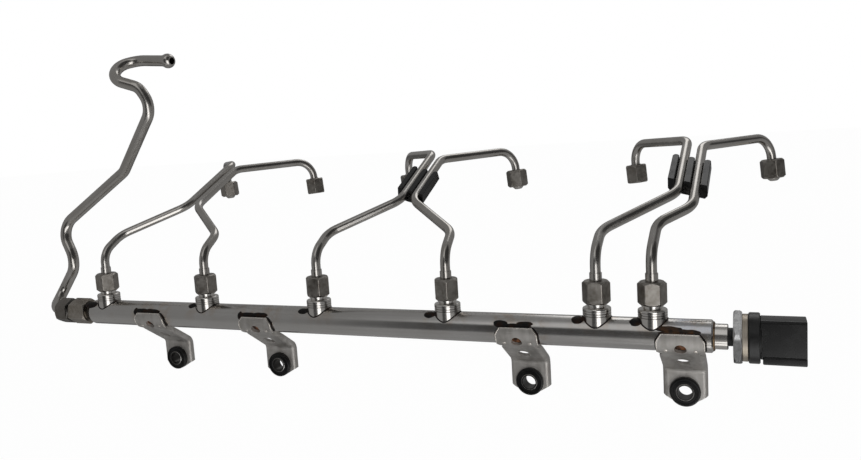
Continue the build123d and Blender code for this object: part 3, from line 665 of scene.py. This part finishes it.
def seam_tree():
    """A wavy bead along every line of the drawing."""
    shape = Shape("seam", Radius=0.4 * MM, Waves=0.5, Wave_Scale=420.0, Seed=1.0)
    line = shape.add("GeometryNodeMeshToCurve", {}, {"Mesh": shape.given("Drawing")})
    line = shape.add(
        "GeometryNodeResampleCurve", {"mode": "LENGTH"}, {"Curve": line, "Length": BEAD_STEP}
    )
    place = shape.add("GeometryNodeInputPosition", {}, {})
    waves = shape.add(
        "ShaderNodeTexNoise",
        {"noise_dimensions": "4D"},
        {"Vector": place, "W": shape.given("Seed"), "Scale": shape.given("Wave_Scale")},
    )
    thick = 1 + (waves - 0.5) * 2 * shape.given("Waves")
    line = shape.add("GeometryNodeSetCurveRadius", {}, {"Curve": line, "Radius": thick})
    ring = shape.add(
        "GeometryNodeCurvePrimitiveCircle",
        {},
        {"Resolution": BEAD_SIDES, "Radius": shape.given("Radius")},
    )
    bead = shape.add(
        "GeometryNodeCurveToMesh", {}, {"Curve": line, "Profile Curve": ring, "Fill Caps": True}
    )
    return shape.close(bead)


SEAM = seam_tree()
print("seam tree:", len(SEAM.tree.nodes), "nodes")

# %% [markdown]
# ## The puddle tree
# Flux and braze also lie on the rail in flat drops with ragged edges. Modelled
# on the round tube they would be awkward to place, so the tree sets them out on
# a flat drawing, roughens them, and wraps the drawing round the tube, which
# keeps every drop on its surface.

# %% The puddle tree
def puddle_tree():
    """Drops on a flat drawing, x along the rail and y round it, wrapped on it."""
    shape = Shape(
        "puddle", Wrap_Radius=RAIL_R, Raggedness=1.4 * MM, Ragged_Scale=260.0, Seed=1.0
    )
    drop = shape.add(
        "GeometryNodeMeshIcoSphere", {}, {"Radius": 1.0, "Subdivisions": 4}, out="Mesh"
    )
    spread = shape.add(
        "GeometryNodeInputNamedAttribute", {"data_type": "FLOAT_VECTOR"}, {"Name": "spread"}
    )
    drops = shape.add(
        "GeometryNodeInstanceOnPoints",
        {},
        {"Points": shape.given("Drawing"), "Instance": drop, "Scale": spread},
    )
    flat = shape.add("GeometryNodeRealizeInstances", {}, [drops])
    place = shape.add("GeometryNodeInputPosition", {}, {})
    ragged = shape.add(
        "ShaderNodeTexNoise",
        {"noise_dimensions": "4D"},
        {"Vector": place, "W": shape.given("Seed"), "Scale": shape.given("Ragged_Scale")},
        out="Color",
    )
    x, y, z = place.parts()
    along, around, out = [(part - 0.5) * shape.given("Raggedness") for part in ragged.parts()]
    turn = (y + around) / shape.given("Wrap_Radius")
    reach = shape.given("Wrap_Radius") + z + 0.2 * out
    wrapped = shape.add(
        "ShaderNodeCombineXYZ",
        {},
        [x + along, -1 * reach * turn.math("COSINE"), reach * turn.math("SINE")],
    )
    puddles = shape.add("GeometryNodeSetPosition", {}, {"Geometry": flat, "Position": wrapped})
    return shape.close(puddles)


PUDDLE = puddle_tree()
print("puddle tree:", len(PUDDLE.tree.nodes), "nodes")

# %% [markdown]
# ## Seams at the bosses
# A boss meets the rail where two round bars cross, so its seam runs on a saddle
# line: a circle seen from above, whose height follows the rail's roundness.

# %% Boss seams
BOSS_GAP = 0.05 * MM


def loop(count):
    """Edges that join a run of points into a ring."""
    return [(n, (n + 1) % count) for n in range(count)]


def saddle(x, radius, steps=96):
    """Line where an upright bar meets the rail."""
    turns = [2 * math.pi * n / steps for n in range(steps)]
    flat = [(radius * math.cos(t), radius * math.sin(t)) for t in turns]
    return [Vector((x + dx, y, math.sqrt(RAIL_R**2 - y * y))) for dx, y in flat]


for n, x in zip(LINES, PORT_X):
    line = saddle(x, BOSS_R + BOSS_GAP)
    SEAM.make(f"boss_seam_{n}", flux, "rail_steel", line, loop(len(line)), Seed=float(n))

# %% [markdown]
# ## Seams and rims at the brackets
# Each bracket's tab is rolled round the front of the rail, with its two upper
# corners cut off. Braze runs up its sides, round the corners and along its top,
# and the edge of the sheet over it is rubbed bright. One line serves both: it is
# drawn by angle on the rail, once at the rail's surface and once at the sheet's.

# %% Tab seams and rims
TAB_HALF = width("bracket_1") / 2
TAB_TOP, TAB_SHOULDER, TAB_FOOT = 14.5, -6.6, -46.0   # degrees over the rail's level
TAB_CUT = 2.6 * MM                                    # width of each cut corner
TAB_SEAM_R, TAB_SEAM_OUT = 0.85 * MM, 0.1 * MM        # the seam stands past the sheet's side
RIM_R, RIM_LIFT, RIM_IN = 0.36 * MM, 1.75 * MM, 0.15 * MM


def on_rail(x, angle, radius):
    """A point on the rail's front, at an angle in degrees over its level."""
    angle = math.radians(angle)
    return Vector((x, -radius * math.cos(angle), radius * math.sin(angle)))


def tab_edge(x, radius, half, steps=10):
    """Along a tab's edge, up one side, over the top and down the other."""
    corners = [
        (-half, TAB_FOOT), (-half, TAB_SHOULDER), (TAB_CUT - half, TAB_TOP),
        (half - TAB_CUT, TAB_TOP), (half, TAB_SHOULDER), (half, TAB_FOOT),
    ]
    points = []
    for (x0, a0), (x1, a1) in zip(corners, corners[1:]):
        for n in range(steps):
            share = n / steps
            points.append(on_rail(x + x0 + (x1 - x0) * share, a0 + (a1 - a0) * share, radius))
    return points + [on_rail(x + half, TAB_FOOT, radius)]


for n, x in zip(BRACKETS, BRACKET_X):
    line = tab_edge(x, RAIL_R, TAB_HALF + TAB_SEAM_OUT)
    chain = [(k, k + 1) for k in range(len(line) - 1)]
    SEAM.make(
        f"tab_seam_{n}", flux, "rail_steel", line, chain, Radius=TAB_SEAM_R, Seed=10.0 + n
    )
    line = tab_edge(x, RAIL_R + RIM_LIFT, TAB_HALF - RIM_IN)
    SEAM.make(f"tab_rim_{n}", rim_steel, "sheet_steel", line, chain, Radius=RIM_R, Waves=0.15)

# %% [markdown]
# ## Seams at the ends
# The sensor's port and the feed adapter are let into the ends of the tube, so
# their seams are plain rings round the rail's axis. The port's is a clean brown,
# and the adapter's is black.

# %% End seams
END_SEAM_R = 0.9 * MM


def end_ring(x, radius, steps=64):
    """A ring round the rail's axis."""
    turns = [2 * math.pi * n / steps for n in range(steps)]
    return [Vector((x, radius * math.cos(t), radius * math.sin(t))) for t in turns]


for name, finish, x, radius in (
    ("port_seam", brown_braze, RAIL_HIGH.x, 7.2 * MM),
    ("inlet_seam", flux, RAIL_LOW.x, 7.0 * MM),
):
    line = end_ring(x, radius)
    SEAM.make(name, finish, "rail_steel", line, loop(len(line)), Radius=END_SEAM_R)

# %% [markdown]
# ## Flux
# Paste was laid to the left of each boss and along the top of each tab, and
# burnt to flat dark drops. No two are alike, so every drop has its own place
# and size, and the puddle tree wraps them on.

# %% Drops of flux
BOSS_DROPS = (   # left of the boss (mm), angle, length, height, thickness
    (12.0, 47, 12.0, 6.0, 1.0), (10.0, 64, 6.6, 5.4, 1.1), (9.4, 54, 8.0, 5.0, 0.9),
    (10.0, 60, 8.0, 5.6, 1.1), (10.2, 62, 7.6, 7.0, 1.2), (8.8, 60, 7.0, 6.6, 1.2),
)
TAB_DROPS = (    # along the tab (mm), angle, length, height, thickness
    ((-6.5, 26, 17.0, 3.6, 1.1), (2.0, 25, 15.0, 3.6, 1.1), (-13.0, 22, 3.6, 5.6, 1.0)),
    ((-6.0, 26, 15.0, 3.4, 1.0), (3.0, 26, 14.0, 3.8, 1.0), (-12.6, 22, 3.4, 6.0, 1.0)),
    ((-9.6, 30, 9.0, 4.6, 1.0), (0.0, 24, 19.0, 2.8, 0.8), (5.0, 33, 10.0, 3.0, 0.8)),
    ((-6.0, 33, 14.0, 4.0, 0.8), (3.0, 25, 16.0, 3.0, 0.8), (-1.0, 19, 22.0, 2.0, 0.8)),
)
TAB_FLUXES = (flux, flux, flux, brown_flux)


def drop_at(x, angle, length, height, thick, radius=RAIL_R):
    """A drop on the flat drawing: its place, sunk a little, and its half sizes."""
    place = Vector((x, math.radians(angle) * radius, -0.25 * thick * MM))
    return place, Vector((length / 2, height / 2, thick)) * MM


def lay(name, finish, slot, drops, **sizes):
    """One piece of several drops."""
    places, halves = zip(*drops)
    return PUDDLE.make(name, finish, slot, places, spread=halves, **sizes)


drops = [drop_at(x - left * MM, *rest) for x, (left, *rest) in zip(PORT_X, BOSS_DROPS)]
lay("boss_flux", flux, "rail_steel", drops)
for n, x, finish, rows in zip(BRACKETS, BRACKET_X, TAB_FLUXES, TAB_DROPS):
    drops = [drop_at(x + aside * MM, *rest) for aside, *rest in rows]
    lay(f"tab_flux_{n}", finish, "rail_steel", drops, Seed=float(n))

# %% [markdown]
# ## Window braze and dimples
# Through the round window of each tab the braze behind it shows as a low copper
# lens. Beside the window, two small dimples were pressed into the sheet to hold
# the tab off the tube, and their rims catch the light as bright dots.

# %% Copper lenses and bright dots
LENS = (6.6, 6.6, 0.5)                                # length, height, thickness (mm)
DOT = (2.2, 2.2, 0.35)
WINDOW_ANGLE, DOT_ANGLE, DOT_ASIDE = -32, -39, 7.7 * MM
TAB_R = RAIL_R + 2.0 * MM

lenses = [drop_at(x, WINDOW_ANGLE, *LENS) for x in BRACKET_X]
lay("window_braze", copper_braze, "rail_steel", lenses, Raggedness=0.3 * MM)
dots = [
    drop_at(x + side * DOT_ASIDE, DOT_ANGLE, *DOT, TAB_R) for x in BRACKET_X for side in (-1, 1)
]
lay("tab_dimples", rim_steel, "sheet_steel", dots, Wrap_Radius=TAB_R, Raggedness=0.1 * MM)

# %% [markdown]
# ## The plug housing
# The housing is a moulded block with a socket for the plug, open to the right,
# and a keyed ledge below. A moulding with one outline all along is easiest as a
# stack of rings: each ring is a rounded rectangle, and rows of faces join one to
# the next, over the mouth and back down inside to the socket's floor.

# %% Rings and stacks
def rounded(x, half, low, high, radius, steps=8):
    """Ring of points: a rounded rectangle across the rail's direction."""
    points = []
    for corner, (side, end) in enumerate(((1, high), (-1, high), (-1, low), (1, low))):
        centre_y = side * (half - radius)
        centre_z = end - radius if end == high else end + radius
        for n in range(steps + 1):
            t = math.radians(90 * corner + 90 * n / steps)
            y, z = centre_y + radius * math.cos(t), centre_z + radius * math.sin(t)
            points.append(Vector((x, y, z)))
    return points


def stack(shape, rings):
    """Joins rings of equal length into one closed skin."""
    loops = [[shape.verts.new(p) for p in ring] for ring in rings]
    for one, two in zip(loops, loops[1:]):
        for n, after in loop(len(one)):
            shape.faces.new((one[n], one[after], two[after], two[n]))
    shape.faces.new(reversed(loops[0]))
    shape.faces.new(loops[-1])


print("rings can be stacked")

# %% Plug housing
BLOCK_HALF, BLOCK_LOW, BLOCK_HIGH = 7.0 * MM, -10.0 * MM, 11.0 * MM
BLOCK_CORNER, WALL, FLOOR_DEPTH = 1.7 * MM, 1.8 * MM, 7.0 * MM
EASE, LEAST_CORNER = 0.35 * MM, 0.4 * MM              # softened edges, inner corners
LEDGE_HALF, LEDGE_LOW, LEDGE_HIGH = 7.8 * MM, -12.3 * MM, -8.0 * MM
LEDGE_CORNER, LEDGE_INSET = 1.0 * MM, 1.1 * MM
SPIGOT_R, SPIGOT_EASED_R = 9.9 * MM, 9.5 * MM
SPIGOT_X = (-2.8 * MM, 0.4 * MM, 0.8 * MM)            # past the seal ring


def block_ring(x, inset):
    corner = max(BLOCK_CORNER - inset, LEAST_CORNER)
    return rounded(x, BLOCK_HALF - inset, BLOCK_LOW + inset, BLOCK_HIGH - inset, corner)


def ledge_ring(x, inset):
    low, high = LEDGE_LOW + inset, LEDGE_HIGH - inset
    return rounded(x, LEDGE_HALF - inset, low, high, LEDGE_CORNER)


def make_housing():
    """Block with its socket, ledge and spigot, in place of the plain solid."""
    start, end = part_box("seal_ring")[1].x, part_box("connector_shell")[1].x
    shape = bmesh.new()
    outside = [(start, EASE), (start + EASE, 0), (end - EASE, 0), (end, EASE)]
    inside = [(end, WALL - EASE), (end - EASE, WALL), (start + FLOOR_DEPTH, WALL)]
    stack(shape, [block_ring(x, inset) for x, inset in outside + inside])
    ledge = start + LEDGE_INSET
    along_ledge = [(ledge, EASE), (ledge + EASE, 0), (end - EASE, 0), (end, EASE)]
    stack(shape, [ledge_ring(x, inset) for x, inset in along_ledge])
    spigot = zip(SPIGOT_X, (SPIGOT_R, SPIGOT_R, SPIGOT_EASED_R))
    stack(shape, [end_ring(start + x, radius) for x, radius in spigot])
    bmesh.ops.recalc_face_normals(shape, faces=shape.faces)
    mesh = bpy.data.meshes.new("plug_housing")
    shape.to_mesh(mesh)
    shape.free()
    mesh.materials.append(shell_plastic.material)
    for face in mesh.polygons:
        face.use_smooth = True
    mesh.set_sharp_from_angle(angle=math.radians(35))
    housing = put("plug_housing", mesh)
    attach(housing, "root")
    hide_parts("connector_shell")
    return housing


print("housing has", len(make_housing().data.polygons), "faces")

# %% [markdown]
# ## The studio
# The part hangs over a white floor in an even, white surround. Both light it at
# a plain level, but to the camera and to every mirror-like or glassy ray they
# are pure white. The floor keeps a trace of its own shading.

# %% White surround
def white_to_the_eye(graph, plain, share=None):
    """Blends a plain shader into pure white for camera, mirror and glass rays."""
    path = graph.add("ShaderNodeLightPath", {}, {}, out="Is Camera Ray")
    seen = path
    for kind in ("Is Glossy Ray", "Is Transmission Ray"):
        seen = seen.math("MAXIMUM", Value(graph, path.socket.node.outputs[kind]))
    if share:
        seen = seen * share
    white = graph.add("ShaderNodeEmission", {}, {})
    graph.show(graph.add("ShaderNodeMixShader", {}, [seen, plain, white]))


def make_surround(level):
    world = bpy.data.worlds.new("studio")
    world.use_nodes = True
    air = Graph(world.node_tree)
    lit = air.tree.nodes["Background"]
    lit.inputs["Strength"].default_value = level
    white_to_the_eye(air, Value(air, lit.outputs[0]))
    bpy.context.scene.world = world
    return level


print("surround at", make_surround(0.75))

# %% White floor
FLOOR_DROP = 0.5
FLOOR_Z = CAD_BOX[0].z - FLOOR_DROP


def make_floor(reach):
    mesh = bpy.data.meshes.new("floor")
    corners = [(-reach, -reach), (reach, -reach), (reach, reach), (-reach, reach)]
    mesh.from_pydata([(x, y, FLOOR_Z) for x, y in corners], [], [(0, 1, 2, 3)])
    paint = Finish("floor_white", Base_Color=(0.9, 0.9, 0.9, 1), Roughness=0.9)
    white_to_the_eye(paint, Value(paint, paint.shader.outputs[0]), share=0.985)
    mesh.materials.append(paint.material)
    floor = put("floor", mesh)
    return floor


make_floor(30.0)
print("floor at", round(FLOOR_Z / MM), "mm")

# %% [markdown]
# ## What the metal sees
# Polished steel has hardly a colour of its own: it shows the room. In a studio,
# cards and cloths stand round it, out of sight, and draw dark and light lines
# along every tube. They could be separate sheets, but many sheets hide each
# other, so here they are one big tent that only mirror-like rays can see. Each
# card is a soft-edged patch of it, placed by the compass bearing and the height
# above the horizon, and makes the grey cloth lighter or darker.

# %% Cards and windows
CLOTH, CLOTH_BELOW = 0.26, 0.04                       # brightness, and how much more below
CARDS = {   # bearing: low, high, fade; height: low, high, fade (degrees); brightness
    "black card in front": ((-116, -90, 5), (-22, 28, 5), -0.2),
    "dark card at the right": ((-66, 22, 9), (6, 60, 9), -0.21),
    "dark card behind": ((102, 160, 10), (-32, 0, 8), -0.15),
    "light card above": ((-114, -86, 8), (34, 78, 4), 0.4),
    "low window": ((-74, -53, 6), (-40, 3, 7), 1.7),
    "side window": ((-58, -34, 6), (-44, -24, 6), 0.8),
    "high window behind": ((74, 104, 8), (38, 62, 6), 1.2),
    "streak by the floor": ((-62, -22, 8), (-62, -44, 6), 1.1),
}


def make_tent_cloth():
    cloth = Finish("tent_cloth")
    x, y, z = cloth.place.parts()
    bearing = y.math("ARCTAN2", x) * (180 / math.pi)
    height = z.math("ARCTAN2", (x * x + y * y).math("SQRT")) * (180 / math.pi)
    shade = CLOTH + CLOTH_BELOW * height.step(-10, -30)
    for round_about, up_and_down, brightness in CARDS.values():
        card = window(bearing, *round_about) * window(height, *up_and_down)
        shade = shade + brightness * card
    cloth.show(cloth.add("ShaderNodeEmission", {}, {"Color": shade, "Strength": 1.0}))
    return cloth


print(len(CARDS), "cards planned")

# %% The tent
def make_tent(radius):
    """A dome, flat on the floor, that only mirror-like rays can see."""
    mesh = bpy.data.meshes.new("tent")
    shape = bmesh.new()
    bmesh.ops.create_uvsphere(shape, u_segments=64, v_segments=32, radius=radius)
    for vertex in shape.verts:
        vertex.co.z = max(vertex.co.z, FLOOR_Z + 0.01)
    shape.to_mesh(mesh)
    shape.free()
    mesh.materials.append(make_tent_cloth().material)
    tent = put("tent", mesh)
    for kind in ("camera", "diffuse", "transmission", "volume_scatter", "shadow"):
        setattr(tent, "visible_" + kind, False)
    return tent


print("tent has", len(make_tent(4.0).data.polygons), "faces")

# %% [markdown]
# ## Lamps
# Two weak soft boxes add shape to the dull pieces, which don't mirror the tent:
# one at the front right and one behind. The metal doesn't see the boxes.

# %% Lamps
LAMP_AIM = Vector((0, 0.05, 0.03))


def softbox(name, place, size, power):
    """A rectangular area lamp that looks at the part and isn't mirrored."""
    data = bpy.data.lights.new(name, "AREA")
    data.shape = "RECTANGLE"
    data.size, data.size_y = size
    data.energy = power
    lamp = put(name, data)
    lamp.location = place
    lamp.rotation_euler = (LAMP_AIM - Vector(place)).to_track_quat("-Z", "Y").to_euler()
    lamp.visible_glossy = False
    return lamp


softbox("key_lamp", place=(0.7, -1.2, 0.5), size=(0.9, 0.5), power=8)
softbox("back_lamp", place=(0.2, 1.1, 0.9), size=(1.6, 0.4), power=5)
print("lamps lit")

# %% [markdown]
# ## The camera
# The camera stands to the right of the middle, a little above the part, and is
# turned to the left and slightly down. It is described by where it stands and by
# two directions, to its right and to its back; the third follows from them.

# %% Camera
CAMERA_PLACE = Vector((0.21994, -0.42924, 0.11680))
CAMERA_RIGHT = Vector((0.9214, 0.3835, -0.0627))
CAMERA_BACK = Vector((0.3884, -0.9133, 0.1223))
SENSOR_WIDTH, LENS_LENGTH = 36.0, 32.26


def make_camera():
    data = bpy.data.cameras.new("camera")
    data.sensor_width = SENSOR_WIDTH
    data.lens = LENS_LENGTH
    data.clip_start = 0.01
    camera = put("camera", data)
    axes = Matrix((CAMERA_RIGHT, CAMERA_BACK.cross(CAMERA_RIGHT), CAMERA_BACK))
    camera.matrix_world = Matrix.Translation(CAMERA_PLACE) @ axes.transposed().to_4x4()
    bpy.context.scene.camera = camera
    return camera


make_camera()
bpy.context.scene.view_settings.view_transform = "Standard"
print("camera set")
